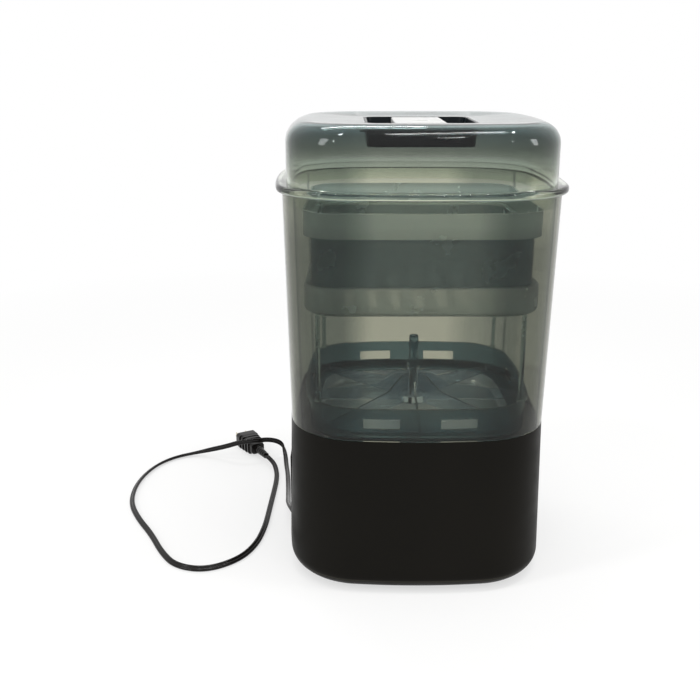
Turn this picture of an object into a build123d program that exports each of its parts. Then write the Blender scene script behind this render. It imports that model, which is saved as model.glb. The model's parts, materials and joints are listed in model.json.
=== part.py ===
from build123d import *
import os
from math import atan, cos, pi, radians, sin, sqrt, tan

# Baby bottle sterilizer with a drying fan, in millimetres.
# The origin is on the floor under the middle of the base, and +Z is up.
# The front with its button looks along +X, and the cord leaves the rear, -X.
# Every plan outline is one rounded square with slightly bulged sides, set in or out.

# Whole object
seam_half_width = 125.0       # middle to side wall, where the sleeve meets the base
side_bulge_radius = 586.0     # large arc of each side, at the seam
corner_radius = 67.0          # small arc of each corner, at the seam
foot_flare = 3.4              # how much further out the base stands at its bottom
sleeve_flare = 5.2            # how much further out the sleeve stands at its top
seam_height = 156.5
sleeve_rise = 220.0
lid_rise = 62.0
sleeve_top_height = seam_height + sleeve_rise
lid_top_height = sleeve_top_height + lid_rise
seat_gap = 0.3                # between parts that lift off each other
slip_gap = 0.3                # between a part and the pocket it slides into
running_gap = 0.1             # between a screw, lens or bezel and its hole
overrun = 5.0                 # how far a cut runs past the face that it opens
arc_share = 0.45              # of the shorter run, for each arc of a cord

# Base housing
housing_wall = 3.0
base_edge_radius = 17.9       # rounding of the bottom edge
rim_wall = 1.6                # thin rim round the sleeve's skirt
deck_drop = 6.0               # the deck's top below the seam
deck_top = seam_height - deck_drop
deck_thickness = 3.0
ledge_width = 4.0
ledge_thickness = 3.0

# Bottom cover
foot_height = 2.0             # the cover's underside above the floor
cover_split_height = 12.0
cover_groove = 0.5
cover_floor = 2.6
lip_wall = 1.6
lip_height = 4.0

# Feet and the screws above them
foot_inset = 45.0
foot_place = seam_half_width - foot_inset
foot_radius = 10.0
foot_recess = 1.5
foot_edge = 0.8
cover_boss_radius = 7.0
cover_boss_top = 20.0
counterbore_top = 12.0
post_radius = 5.0
post_top = 60.0
web_thickness = 2.4

# Screws, one size for the casings and a small one for the boards
screw_radius = 1.7
screw_hole_radius = 1.75
screw_head_radius = 3.4
screw_head_height = 2.4
screw_length = 14.0
small_screw_radius = 1.2
small_hole_radius = 1.25
small_head_radius = 2.4
small_head_height = 1.6
small_screw_length = 8.0

# Deck screws
deck_boss_inset = 33.0
deck_boss_place = seam_half_width - deck_boss_inset
deck_boss_radius = 4.5
deck_boss_length = 11.5
pad_radius = 6.0
pad_thickness = 3.0

# Heating pan and its seal
pan_inset = 27.0              # from the seam outline to the dish wall
pan_flange_inset = 20.8
pan_draft = 3.0
pan_steel = 0.8
pan_depth = 12.0
pan_floor_radius = 5.0
seal_thickness = 1.0
seal_margin = 0.8

# Heater under the pan
plate_inset = 50.0
plate_radius = seam_half_width - plate_inset
plate_thickness = 4.0
element_inset = 20.0
element_radius = plate_radius - element_inset
element_width = 8.0
element_height = 6.0
element_gap_angle = 24.0
terminal_radius = 2.5
terminal_length = 16.0
clamp_inset = 12.5
clamp_place = seam_half_width - clamp_inset
clamp_width = 20.0
clamp_thickness = 3.0
clamp_end = 6.0
clamp_boss_radius = 5.0
thermostat_radius = 8.0
fuse_length = 14.0
fuse_width = 6.0
fuse_height = 4.0
fuse_place = 34.0

# Drying fan
fan_x = -40.0
fan_y = -5.0
fan_radius = 46.0
fan_low = 31.0
fan_height = 32.0
fan_wall = 1.8
outlet_width = 40.0
outlet_end = 58.0
inlet_radius = 22.0
ear_radius = 6.0
ear_reach = 51.0
ear_thickness = 3.0
ear_angles = (135, 225, 315)
wheel_radius = 38.0
wheel_gap = 2.2               # wheel to the casing floor
wheel_disc = 1.6
wheel_ring_width = 5.0
blade_count = 28
blade_length = 10.0
blade_thickness = 1.2
blade_height = 20.0
blade_lean = 35
hub_radius = 7.0
hub_height = 15.0
shaft_radius = 2.0
shaft_gap = 0.05
shaft_hole_radius = 4.0
motor_radius = 18.0
motor_height = 22.0
motor_floor = 2.5
shaft_above_hub = 1.0

# Air duct to the deck
duct_wall = 1.5
riser_depth = 9.6
riser_inset = 8.5
riser_outer = seam_half_width - riser_inset
duct_heater_length = 18.0
duct_heater_start = 72.0
fin_count = 9
fin_slot = 2.0
fin_margin = 3.0

# Filter and its cover in the rear wall
filter_width = 84.0
filter_height = 54.0
filter_level = 75.0
filter_pad = 11.0
filter_box_wall = 2.5
filter_box_depth = 19.0
cover_frame = 4.5
filter_cover_wall = 2.6
cover_tab_depth = 4.0
cover_tab_wall = 1.8
grille_slots = 9
grille_slot_width = 3.0
grille_slot_margin = 7.0
filter_stop = 3.0

# Power button, bezel, lens and switch board in the front wall
button_drop = 72.5
button_level = seam_height - button_drop
button_radius = 11.0
button_gap = 0.3
button_proud = 2.6
button_travel = 2.0
button_length = 11.0
button_edge = 1.2
button_flange_radius = 13.0
button_flange = 1.6
button_flange_gap = 0.3
stem_radius = 3.0
bezel_radius = 16.5
bezel_barrel_radius = 13.6
bezel_barrel_length = 8.0
bezel_proud = 1.6
bezel_edge = 0.8
switch_size = 12.0
switch_depth = 4.0
plunger_radius = 1.8
plunger_length = 1.4
lens_rise = 23.0
lens_radius = 2.2
lens_proud = 0.6
switch_board_width = 44.0
switch_board_height = 50.0
switch_board_thickness = 1.6
switch_post_radius = 4.0
switch_post_share = 0.38

# Control board
board_x = 66.0
board_y = -4.0
board_length = 68.0
board_width = 84.0
board_level = 24.0
board_thickness = 1.6
board_hole_margin = 6.0
board_post_radius = 4.0
relay_size = (19.0, 15.0, 16.0)
capacitor_radius = 6.5
capacitor_height = 18.0
connector_size = (24.0, 9.0, 11.0)
heat_sink_size = (6.0, 30.0, 22.0)
board_spot_shares = ((-0.22, 0.25), (0.25, 0.30), (0.0, -0.36), (0.26, -0.06))

# Cord pocket, gland and clamp
gland_inset = 11.0
gland_x = gland_inset - seam_half_width
gland_y = -34.0
gland_level = 23.0
gland_angle = 20
pocket_half_width = 8.0
pocket_length = 60.0
pocket_reach = 30.0
pocket_wall = 2.0
gland_barrel_radius = 5.9
gland_hole_radius = 6.0
gland_flange_radius = 7.5
gland_flange = 2.0
relief_length = 26.0
relief_root_radius = 5.6
relief_tip_radius = 4.0
relief_grooves = 5
relief_groove_width = 1.4
relief_groove_depth = 0.9
cord_radius = 3.2
clamp_block = (17.0, 8.0, 5.0)
clamp_along = 22.0
clamp_post_radius = 4.0
clamp_screw_spread = 5.6
lead_corner = (-74.0, -66.0)
lead_bend_y = -84.0
lead_run = 30.0
lead_radius = 3.1

# Plug at the cord's end
plug_back = 79.8              # behind the gland
plug_aside = 252.2
plug_x = gland_x - plug_back
plug_y = gland_y + plug_aside
plug_turn = 29.0
plug_body_length = 40.0
plug_body_width = 24.0
plug_body_height = 19.0
plug_nose_length = 10.0
plug_nose_width = 27.0
plug_corner = 4.0
plug_relief_length = 26.0
plug_relief_root = 5.2
plug_relief_tip = 3.8
blade_out = 17.0
blade_width = 6.4
blade_plate = 1.5
blade_spacing = 12.7
blade_root = 4.0
plug_waist_share = 0.72
plug_ridges = 3               # round the body, for the fingers
plug_ridge_width = 3.0
plug_ridge_pitch = 7.5
plug_ridge_proud = 1.4

# Bottle rack
rack_inset = 16.0
rack_draft = 2.0
rack_wall = 2.0
rack_rise = 26.0
rack_top = seam_height + rack_rise
rack_low = deck_top + seat_gap
rack_foot_offset = -rack_inset - rack_draft
rack_lip = 1.6
rack_lip_height = 2.4
rack_floor_rise = 2.4
rack_floor = 2.0
rack_ring_width = 11.0
rib_thickness = 2.0
rib_count = 8
rib_outer_height = 7.0
rib_knee_radius = 38.0
rib_knee_height = 17.0
rib_top_height = 36.0
rack_hub_radius = 15.0
rack_hub_height = 7.0
rack_collar_radius = 6.5
window_width = 34.0
window_height = 10.0
window_place = 36.0
window_drop = 15.0
window_level = rack_top - window_drop
post_pin_radius = 3.0
post_pin_gap = 0.05
post_pin_length = 24.0
rack_post_radius = 4.7
rack_post_rise = 40.5
rack_post_top = rack_top + rack_post_rise
rack_post_rounding = 2.0

# Accessory basket
basket_inset = 17.5
basket_half_width = seam_half_width - basket_inset
basket_corner = 32.0
basket_wall = 2.0
basket_floor = 2.4
basket_drop = 13.5            # the basket's rim below the sleeve's top
basket_depth = 93.0
basket_high = sleeve_top_height - basket_drop
basket_low = basket_high - basket_depth
basket_edge = 6.0             # rounding of the bottom edge
basket_shoulder = 3.0         # rounding of the lower band's top edge
basket_band_proud = 6.0
basket_lower_band = 27.0
basket_upper_band = 22.5
basket_slots = 7
basket_slot_width = 8.0
basket_slot_length = 70.0
basket_slot_pitch = 22.0
leg_radius = 2.2
leg_angle = 37                # round the rack's corner arc, from its side
leg_foot_radius = 3.4
leg_foot_height = 3.0

# Sleeve
sleeve_wall = 3.0

# Lid
lid_offset = 1.1              # the lid's wall outside the seam outline
lid_wall = 2.6
lid_shoulder_radius = 19.4
lid_dish = 2.7                # the top's fall from its edge to the grip
lid_dish_edge = 1.5
lid_dish_inset = 58.0
grip_rim_height = lid_top_height - lid_dish
lid_flange_offset = 10.9
lid_flange_height = 7.0
lid_flange_rounding = 3.0
spigot_length = 10.5
spigot_wall = 2.2
grip_half_width = 51.6
grip_half_length = 51.6
grip_corner = 12.0
grip_wall = 2.0
grip_depth = 24.0
grip_low = lid_top_height - grip_depth
grip_flange = 5.0
grip_draft = 2.0
grip_bar_half_width = 24.0
grip_bar_drop = 0.3
grip_bar_wall = 3.0
grip_bar_edge = 1.5
vent_slots = 4
vent_slot_width = 4.0
vent_slot_length = 14.0
vent_slot_pitch = 16.0

# The cord's route, chosen by hand. Lengths along X and Y are measured from the gland, and
# heights from the floor: out of the pocket, back along the base, round a fold, over the plug,
# and round a wide loop to the plug's rear.
cord_route = [
    (-14.5, 39.8, 23.0),
    (-20.0, 64.0, 18.0),
    (-22.0, 96.0, 10.5),
    (-24.5, 134.0, 4.6),
    (-27.5, 172.0, 3.4),
    (-31.0, 198.0, 4.2),
    (-33.5, 221.0, 8.0),
    (-38.0, 233.0, 18.5),
    (-52.0, 225.0, 27.0),
    (-70.0, 214.5, 29.8),
    (-90.0, 212.5, 28.4),
    (-108.5, 219.0, 20.0),
    (-127.0, 229.5, 11.5),
    (-150.0, 234.0, 5.2),
    (-175.0, 223.5, 3.4),
    (-194.0, 200.0, 3.4),
    (-205.0, 166.0, 3.4),
    (-208.0, 130.0, 3.4),
    (-203.0, 92.0, 3.4),
    (-187.0, 56.0, 3.4),
    (-165.0, 20.0, 3.4),
    (-147.0, -18.0, 3.4),
    (-128.0, -45.0, 3.4),
    (-96.5, -53.5, 3.4),
    (-66.0, -34.0, 3.4),
    (-50.5, -4.0, 3.4),
    (-44.0, 36.0, 3.4),
    (-42.5, 80.0, 3.4),
    (-41.0, 120.0, 3.4),
    (-40.0, 153.0, 3.6),
    (-41.3, 175.5, 5.4),
    (-47.0, 197.0, 8.8),
]


# Helpers

def corner_spot():
    """Distance of a corner arc's centre from both middle planes."""
    reach = seam_half_width - side_bulge_radius
    arm = side_bulge_radius - corner_radius
    return (reach + sqrt(2 * arm ** 2 - reach ** 2)) / 2


def corner_reach(offset):
    """Distance from the middle to the outline's corner, along the diagonal."""
    return sqrt(2) * corner_spot() + corner_radius + offset


def outline(offset, level):
    """The rounded square, set out by offset, as a face at a level."""
    half = seam_half_width + offset
    bulge = side_bulge_radius + offset
    corner = corner_radius + offset
    spot = corner_spot()
    reach = half - bulge
    stretch = bulge / (bulge - corner)
    x = reach + (spot - reach) * stretch
    y = spot * stretch
    mid = spot + corner * sqrt(0.5)
    edges = []
    for quarter in range(4):
        turn = Rot(0, 0, 90 * quarter)
        edges.append(turn * ThreePointArc((x, -y), (half, 0), (x, y)))
        edges.append(turn * ThreePointArc((x, y), (mid, mid), (y, x)))
    return Pos(0, 0, level) * make_face(edges)


def prism(offset, low, high):
    return extrude(outline(offset, low), high - low)


def taper(low_offset, low, high_offset, high):
    return loft([outline(low_offset, low), outline(high_offset, high)], ruled=True)


def block(x, y, z):
    """A box between two values on each axis."""
    size = Box(x[1] - x[0], y[1] - y[0], z[1] - z[0])
    return Pos((x[0] + x[1]) / 2, (y[0] + y[1]) / 2, (z[0] + z[1]) / 2) * size


def rod(x, y, low, high, radius):
    body = Cylinder(radius, high - low, align=(Align.CENTER, Align.CENTER, Align.MIN))
    return Pos(x, y, low) * body


def x_rod(start, end, y, z, radius):
    body = Cylinder(radius, end - start, align=(Align.CENTER, Align.CENTER, Align.MIN))
    return Pos(start, y, z) * Rot(0, 90, 0) * body


def screw_up(x, y, head_top, radius, head_radius, head_height, length):
    """A screw driven upwards, its head's bearing face at head_top."""
    head = rod(x, y, head_top - head_height, head_top, head_radius)
    return head + rod(x, y, head_top, head_top + length, radius)


def screw_down(x, y, head_low, radius, head_radius, head_height, length):
    """A screw driven downwards, its head's bearing face at head_low."""
    head = rod(x, y, head_low, head_low + head_height, head_radius)
    return head + rod(x, y, head_low - length, head_low, radius)


def four(place_x, place_y):
    return [(sx * place_x, sy * place_y) for sx in (1, -1) for sy in (1, -1)]


def rounded_box(half_x, half_y, corner, low, high):
    return extrude(Pos(0, 0, low) * RectangleRounded(2 * half_x, 2 * half_y, corner), high - low)


def save(name, shape):
    shape.label = name
    export_step(shape, os.path.join("parts", name + ".step"))


def base_offset(level):
    return foot_flare * (seam_height - level) / (seam_height - foot_height)


def sleeve_offset(level):
    return sleeve_flare * (level - seam_height) / (sleeve_top_height - seam_height)


def base_form(inset, floor_inset, top):
    """The base's outer shape, set in by a wall and by a floor, with its rounded bottom edge."""
    low = foot_height + floor_inset
    form = taper(base_offset(low) - inset, low, base_offset(top) - inset, top)
    bottom = form.faces().sort_by(Axis.Z)[0]
    return fillet(bottom.edges(), base_edge_radius - max(inset, floor_inset))


def slab(low, high):
    """Everything between two levels, for slicing the base."""
    span = 2 * (seam_half_width + corner_radius)
    return block((-span, span), (-span, span), (low, high))


deck_low = deck_top - deck_thickness
pan_flange_low = deck_top + seal_thickness
pan_flange_top = pan_flange_low + pan_steel
pan_floor_top = pan_flange_top - pan_depth
plate_top = pan_floor_top - pan_steel
plate_low = plate_top - plate_thickness
clamp_top = plate_low - element_height
fan_top = fan_low + fan_height
cover_floor_top = foot_height + cover_floor
gland_frame = Pos(gland_x, gland_y, gland_level) * Rot(0, 0, gland_angle)
wall_front = seam_half_width + base_offset(button_level)
wall_rear = seam_half_width + base_offset(filter_level)
outlet_x = (fan_x + fan_radius - outlet_width, fan_x + fan_radius)


# Base housing

def make_housing():
    shell = base_form(0, 0, seam_height) & slab(cover_split_height + cover_groove / 2, seam_height)
    shell -= base_form(housing_wall, housing_wall, seam_height + overrun)
    rebate = taper(
        base_offset(deck_top) - rim_wall, deck_top,
        base_offset(seam_height + overrun) - rim_wall, seam_height + overrun,
    )
    shell -= rebate
    ledge_low = deck_low - ledge_thickness
    ledge = prism(base_offset(deck_low) - housing_wall / 2, ledge_low, deck_low)
    ledge -= prism(-housing_wall - ledge_width, ledge_low - overrun, deck_low + overrun)
    shell += ledge
    pad_top = deck_low - deck_boss_length
    for x, y in four(deck_boss_place, deck_boss_place):
        shell += rod(x, y, pad_top - pad_thickness, pad_top, pad_radius)
        shell += rod(x * foot_place / deck_boss_place, y * foot_place / deck_boss_place,
                     cover_boss_top, post_top, post_radius)
    pad_reach = corner_reach(base_offset(pad_top) - housing_wall / 2)
    post_reach = corner_reach(base_offset(post_top) - housing_wall / 2)
    for quarter in range(4):
        turn = Rot(0, 0, 45 + 90 * quarter)
        pad_start = sqrt(2) * deck_boss_place
        post_start = sqrt(2) * foot_place
        shell += turn * block(
            (pad_start, pad_reach), (-pad_radius, pad_radius), (pad_top - pad_thickness, pad_top),
        )
        shell += turn * block(
            (post_start, post_reach), (-web_thickness / 2, web_thickness / 2),
            (cover_boss_top, post_top),
        )
    for x, y in four(deck_boss_place, deck_boss_place):
        shell -= rod(x, y, pad_top - pad_thickness - overrun, pad_top + overrun, screw_hole_radius)
    for x, y in four(foot_place, foot_place):
        shell -= rod(x, y, cover_boss_top - overrun, cover_boss_top + screw_length, screw_hole_radius)
    shell = add_filter_box(shell)
    shell = add_control_bosses(shell)
    return add_cord_pocket(shell)


def filter_box_x():
    """Where the ledge behind the filter cover starts, and where the box ends inside."""
    edge = filter_width / 2 + cover_frame
    sagitta = side_bulge_radius - sqrt(side_bulge_radius ** 2 - edge ** 2)
    ledge = -(wall_rear - sagitta - housing_wall) + slip_gap
    return ledge, ledge + filter_box_depth


def add_filter_box(shell):
    ledge, inner = filter_box_x()
    half_y = filter_width / 2 + filter_box_wall
    half_z = filter_height / 2 + filter_box_wall
    frame = block(
        (-wall_rear + housing_wall / 2, inner), (-half_y - cover_frame, half_y + cover_frame),
        (filter_level - half_z - cover_frame, filter_level + half_z + cover_frame),
    )
    shell += frame
    window_y = filter_width / 2 + cover_frame + slip_gap
    window_z = filter_height / 2 + cover_frame + slip_gap
    shell -= block(
        (-wall_rear - overrun, ledge), (-window_y, window_y),
        (filter_level - window_z, filter_level + window_z),
    )
    shell -= block(
        (ledge - overrun, inner - filter_stop), (-filter_width / 2, filter_width / 2),
        (filter_level - filter_height / 2, filter_level + filter_height / 2),
    )
    stop_y = filter_width / 2 - filter_stop
    stop_z = filter_height / 2 - filter_stop
    shell -= block(
        (ledge, inner + overrun), (-stop_y, stop_y), (filter_level - stop_z, filter_level + stop_z),
    )
    return shell


def control_x():
    """Places along X behind the front wall: bezel end, button flange, plunger and board."""
    bezel_end = wall_front - bezel_barrel_length
    flange_back = bezel_end - button_flange_gap - button_flange
    stem_end = wall_front + button_proud - button_length - button_travel
    board_face = stem_end - button_travel - plunger_length - switch_depth
    return bezel_end, flange_back, stem_end, board_face


def switch_posts():
    share_y = switch_board_width * switch_post_share
    share_z = switch_board_height * switch_post_share
    middle = button_level + lens_rise / 2
    return [(y, middle + z) for y, z in four(share_y, share_z)]


def add_control_bosses(shell):
    board_face = control_x()[3]
    for y, z in switch_posts():
        shell += x_rod(board_face, wall_front - housing_wall / 2, y, z, switch_post_radius)
    for y, z in switch_posts():
        shell -= x_rod(board_face - overrun, board_face + small_screw_length, y, z, small_hole_radius)
    shell -= x_rod(wall_front - overrun - housing_wall, wall_front + overrun, 0, button_level,
                   bezel_barrel_radius + running_gap)
    shell -= x_rod(wall_front - overrun - housing_wall, wall_front + overrun, 0,
                   button_level + lens_rise, lens_radius + running_gap)
    return shell


def add_cord_pocket(shell):
    deep = pocket_half_width + pocket_wall
    outer = gland_frame * block((-pocket_reach, deep), (-pocket_wall, pocket_length), (-deep, deep))
    inner = gland_frame * block(
        (-pocket_reach * 2, pocket_half_width), (0, pocket_length * 2),
        (-pocket_half_width, pocket_half_width),
    )
    shell += outer & base_form(housing_wall / 2, housing_wall / 2, seam_height)
    shell -= inner
    hole = Cylinder(gland_hole_radius, 2 * overrun)
    return shell - gland_frame * (Rot(90, 0, 0) * hole)


# Bottom cover with its bosses and posts

def ear_spots():
    return [
        (fan_x + ear_reach * cos(radians(a)), fan_y + ear_reach * sin(radians(a))) for a in ear_angles
    ]


def board_holes():
    half_x = board_length / 2 - board_hole_margin
    half_y = board_width / 2 - board_hole_margin
    return [(board_x + x, board_y + y) for x, y in four(half_x, half_y)]


def clamp_spot():
    place = gland_frame * Pos(0, -clamp_along, 0)
    return place.position.X, place.position.Y


def clamp_screws():
    x, y = clamp_spot()
    step_x = clamp_screw_spread * cos(radians(gland_angle))
    step_y = clamp_screw_spread * sin(radians(gland_angle))
    return [(x + step_x, y + step_y), (x - step_x, y - step_y)]


def make_bottom_cover():
    wall_inset = housing_wall + slip_gap + lip_wall
    hollow = base_form(wall_inset, cover_floor, seam_height)
    split = cover_split_height - cover_groove / 2
    cover = base_form(0, 0, seam_height) & slab(foot_height, split)
    inset = housing_wall + slip_gap
    lip = base_form(inset, inset, seam_height) & slab(split - overrun, split + lip_height)
    cover = (cover + lip) - hollow
    deep = pocket_half_width + pocket_wall + slip_gap
    cover -= gland_frame * block(
        (-pocket_reach, deep), (-pocket_wall - slip_gap, pocket_length), (-deep, deep))
    for x, y in four(foot_place, foot_place):
        cover += rod(x, y, cover_floor_top, cover_boss_top, cover_boss_radius)
        cover -= rod(x, y, foot_height - overrun, foot_height + foot_recess, foot_radius + running_gap)
        cover -= rod(x, y, foot_height, counterbore_top, screw_head_radius + slip_gap)
        cover -= rod(x, y, counterbore_top - overrun, cover_boss_top + overrun, screw_radius + slip_gap)
    for x, y in ear_spots():
        cover += rod(x, y, cover_floor_top, fan_low, ear_radius - slip_gap)
        cover -= rod(x, y, fan_low + ear_thickness - screw_length, fan_low + overrun, screw_hole_radius)
    for x, y in board_holes():
        cover += rod(x, y, cover_floor_top, board_level, board_post_radius)
        hole_low = board_level + board_thickness - small_screw_length
        cover -= rod(x, y, hole_low, board_level + overrun, small_hole_radius)
    clamp_low = gland_level - cord_radius
    for x, y in clamp_screws():
        cover += rod(x, y, cover_floor_top, clamp_low, clamp_post_radius)
    x, y = clamp_spot()
    bridge = Pos(x, y, 0) * Rot(0, 0, gland_angle) * block(
        (-clamp_screw_spread, clamp_screw_spread),
        (-clamp_post_radius, clamp_post_radius), (cover_floor_top, clamp_low),
    )
    cover += bridge
    for x, y in clamp_screws():
        cover -= rod(x, y, clamp_low - small_screw_length, clamp_low + overrun, small_hole_radius)
    return cover


# Deck, pan, seal and heater

def make_deck():
    deck = prism(-housing_wall - slip_gap, deck_low, deck_top)
    deck -= prism(slip_gap - pan_inset, deck_low - overrun, deck_top + overrun)
    for x, y in four(deck_boss_place, deck_boss_place):
        deck += rod(x, y, deck_low - deck_boss_length, deck_low, deck_boss_radius)
    for x in (clamp_place, -clamp_place):
        deck += rod(x, 0, clamp_top, deck_low, clamp_boss_radius)
    for x, y in four(deck_boss_place, deck_boss_place):
        low = deck_low - deck_boss_length
        deck -= rod(x, y, low - overrun, low + screw_length - pad_thickness, screw_hole_radius)
    for x in (clamp_place, -clamp_place):
        deck -= rod(x, 0, clamp_top - overrun, clamp_top + screw_length - clamp_thickness,
                    screw_hole_radius)
    x = (outlet_x[0] + duct_wall, outlet_x[1] - duct_wall)
    y = (riser_outer - riser_depth + duct_wall, riser_outer - duct_wall)
    return deck - block(x, y, (deck_low - overrun, deck_top + overrun))


def make_pan():
    flange = prism(-pan_flange_inset, pan_flange_low, pan_flange_top)
    dish_low = pan_floor_top - pan_steel
    outer = taper(-pan_inset - pan_draft, dish_low, -pan_inset, pan_flange_top)
    outer = fillet(outer.faces().sort_by(Axis.Z)[0].edges(), pan_floor_radius)
    inset = pan_inset + pan_steel
    inner = taper(-inset - pan_draft, pan_floor_top, -inset, pan_flange_top)
    inner = fillet(inner.faces().sort_by(Axis.Z)[0].edges(), pan_floor_radius - pan_steel)
    return flange + outer - inner


def make_seal():
    ring = prism(-pan_flange_inset - seal_margin, deck_top, pan_flange_low)
    return ring - prism(-pan_inset + slip_gap + seal_margin, deck_top - overrun, deck_top + overrun)


def make_element():
    section = Pos(element_radius, 0, plate_low - element_height / 2) * Rot(90, 0, 0)
    ring = revolve(section * Rectangle(element_width, element_height), Axis.Z, 360 - element_gap_angle)
    for angle in (0, -element_gap_angle):
        x = element_radius * cos(radians(angle))
        y = element_radius * sin(radians(angle))
        ring += rod(x, y, clamp_top - terminal_length, plate_low - element_height / 2, terminal_radius)
    return Rot(0, 0, 90 + element_gap_angle / 2) * ring


def make_clamp_bar():
    reach = clamp_place + clamp_end
    low = clamp_top - clamp_thickness
    bar = block((-reach, reach), (-clamp_width / 2, clamp_width / 2), (low, clamp_top))
    for x in (clamp_place, -clamp_place):
        bar -= rod(x, 0, low - overrun, clamp_top + overrun, screw_radius + slip_gap)
    return bar


# Drying fan

def fan_shape(inset, low, high):
    """The scroll's plan: a round body and a straight outlet along +Y."""
    round_body = rod(fan_x, fan_y, low, high, fan_radius - inset)
    end = outlet_end + overrun if inset else outlet_end
    return round_body + block((outlet_x[0] + inset, outlet_x[1] - inset), (fan_y, end), (low, high))


def make_fan_casing():
    cover_low = fan_top - fan_wall
    casing = fan_shape(0, fan_low, cover_low)
    for x, y in ear_spots():
        casing += rod(x, y, fan_low, fan_low + ear_thickness, ear_radius)
    casing -= fan_shape(fan_wall, fan_low + fan_wall, cover_low + overrun)
    casing -= rod(fan_x, fan_y, fan_low - overrun, fan_low + overrun, shaft_hole_radius)
    for x, y in ear_spots():
        casing -= rod(x, y, fan_low - overrun, fan_low + overrun, screw_radius + slip_gap)
    return casing


def make_fan_cover():
    cover = fan_shape(0, fan_top - fan_wall, fan_top)
    return cover - rod(fan_x, fan_y, fan_low, fan_top + overrun, inlet_radius)


def make_impeller():
    low = fan_low + fan_wall + wheel_gap
    disc_top = low + wheel_disc
    wheel = rod(0, 0, low, disc_top, wheel_radius) + rod(0, 0, low, low + hub_height, hub_radius)
    blade_top = disc_top + blade_height
    rim = rod(0, 0, blade_top - wheel_disc, blade_top, wheel_radius)
    wheel += rim - rod(0, 0, low, blade_top + overrun, wheel_radius - wheel_ring_width)
    blade = block((-blade_length / 2, blade_length / 2), (-blade_thickness / 2, blade_thickness / 2),
                  (disc_top - wheel_disc / 2, blade_top - wheel_disc / 2))
    centre = wheel_radius - blade_length / 2
    for number in range(blade_count):
        turn = Rot(0, 0, 360 * number / blade_count)
        wheel += turn * Pos(centre, 0, 0) * Rot(0, 0, blade_lean) * blade
    wheel &= rod(0, 0, low, blade_top, wheel_radius)
    wheel -= rod(0, 0, low - overrun, blade_top + overrun, shaft_radius)
    return Pos(fan_x, fan_y, 0) * wheel


def make_motor():
    low = fan_low - motor_height
    motor = rod(fan_x, fan_y, low, fan_low, motor_radius)
    return motor - rod(fan_x, fan_y, low + motor_floor, fan_low + overrun, shaft_radius + shaft_gap)


def make_motor_shaft():
    low = fan_low - motor_height + motor_floor + slip_gap
    top = fan_low + fan_wall + wheel_gap + hub_height + shaft_above_hub
    return rod(fan_x, fan_y, low, top, shaft_radius)


def duct_form(inset):
    x = (outlet_x[0] + inset, outlet_x[1] - inset)
    open_end = overrun if inset else 0
    flat = block(x, (outlet_end - open_end, riser_outer - inset), (fan_low + inset, fan_top - inset))
    riser_y = (riser_outer - riser_depth + inset, riser_outer - inset)
    return flat + block(x, riser_y, (fan_low + inset, deck_low + open_end))


def make_duct_heater():
    gap = duct_wall + slip_gap
    x = (outlet_x[0] + gap, outlet_x[1] - gap)
    z = (fan_low + gap, fan_top - gap)
    y = (duct_heater_start, duct_heater_start + duct_heater_length)
    body = block(x, y, z)
    pitch = (x[1] - x[0] - 2 * fin_margin) / fin_count
    for number in range(fin_count):
        middle = x[0] + fin_margin + pitch * (number + 0.5)
        slot_x = (middle - fin_slot / 2, middle + fin_slot / 2)
        body -= block(slot_x, (y[0] - overrun, y[1] + overrun), (z[0] + fin_margin, z[1] - fin_margin))
    return body


# Filter and its cover

def make_filter():
    inner = filter_box_x()[1] - filter_stop
    gap = slip_gap
    return block(
        (inner - filter_pad, inner),
        (-filter_width / 2 + gap, filter_width / 2 - gap),
        (filter_level - filter_height / 2 + gap, filter_level + filter_height / 2 - gap),
    )


def make_filter_cover():
    ledge = filter_box_x()[0]
    half_y = filter_width / 2 + cover_frame
    half_z = filter_height / 2 + cover_frame
    z = (filter_level - half_z, filter_level + half_z)
    skin = base_form(0, 0, seam_height)
    skin -= base_form(filter_cover_wall, filter_cover_wall, seam_height + overrun)
    cover = skin & block((-wall_rear - overrun, ledge - seat_gap), (-half_y, half_y), z)
    tab_y = filter_width / 2 - slip_gap
    tab_z = filter_height / 2 - slip_gap
    tabs = block((-wall_rear + filter_cover_wall / 2, ledge + cover_tab_depth), (-tab_y, tab_y),
                 (filter_level - tab_z, filter_level + tab_z))
    tabs -= block(
        (-wall_rear - overrun, ledge + cover_tab_depth + overrun),
        (-tab_y + cover_tab_wall, tab_y - cover_tab_wall),
        (filter_level - tab_z + cover_tab_wall, filter_level + tab_z - cover_tab_wall),
    )
    cover += tabs
    pitch = (filter_height - 2 * grille_slot_margin - grille_slot_width) / (grille_slots - 1)
    for number in range(grille_slots):
        level = filter_level + (number - (grille_slots - 1) / 2) * pitch
        slot_y = filter_width / 2 - grille_slot_margin
        cover -= block((-wall_rear - overrun, ledge + overrun), (-slot_y, slot_y),
                       (level - grille_slot_width / 2, level + grille_slot_width / 2))
    return cover


# Front controls

def make_bezel():
    bezel_end = control_x()[0]
    seat = seam_half_width + base_offset(button_level - bezel_radius) + running_gap
    flange = x_rod(seat, seat + bezel_proud, 0, button_level, bezel_radius)
    flange = fillet(flange.edges().sort_by(Axis.X)[-1], bezel_edge)
    bezel = flange + x_rod(bezel_end, seat, 0, button_level, bezel_barrel_radius)
    bore = button_radius + button_gap
    return bezel - x_rod(bezel_end - overrun, seat + overrun, 0, button_level, bore)


def make_button():
    flange_back, stem_end = control_x()[1], control_x()[2]
    front = wall_front + button_proud
    cap = x_rod(flange_back, front, 0, button_level, button_radius)
    cap = fillet(cap.edges().sort_by(Axis.X)[-1], button_edge)
    cap += x_rod(flange_back, flange_back + button_flange, 0, button_level, button_flange_radius)
    return cap + x_rod(stem_end, flange_back, 0, button_level, stem_radius)


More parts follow.
